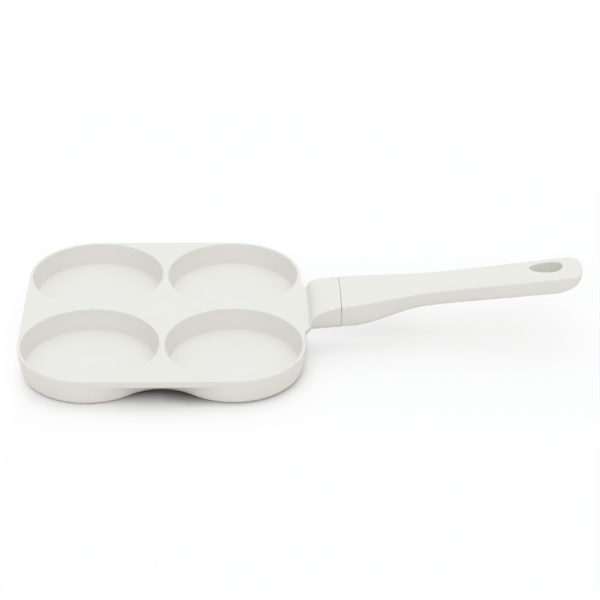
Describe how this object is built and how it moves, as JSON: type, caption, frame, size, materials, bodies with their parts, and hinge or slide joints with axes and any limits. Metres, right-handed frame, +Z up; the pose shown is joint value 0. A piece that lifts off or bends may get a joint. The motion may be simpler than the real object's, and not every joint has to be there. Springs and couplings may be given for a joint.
{
  "type": "multi-cup frying pan",
  "caption": "Shallow cast frying pan with round cups sunk in a rounded square flange, and a straight moulded handle with a hang hole, for frying patties or eggs.",
  "frame": {"origin": "middle of the whole pan's length and width, on the surface that it stands on", "axes": "+X from the cups towards the end of the handle, +Y from the front cups to the back cups, +Z up"},
  "size_m": [0.3828, 0.1922, 0.053],
  "materials": {
    "cream_coat": "satin",
    "cream_handle": "matte",
    "disc_steel": "satin",
    "screw_steel": "satin"
  },
  "bodies": {
    "root": {"pan_body": "cream_coat", "base_disc_front_left": "disc_steel", "base_disc_front_right": "disc_steel", "base_disc_back_left": "disc_steel", "base_disc_back_right": "disc_steel", "handle_grip": "cream_handle", "handle_screw": "screw_steel", "flat_washer": "screw_steel", "spring_washer": "screw_steel"}
  },
  "joints": []
}
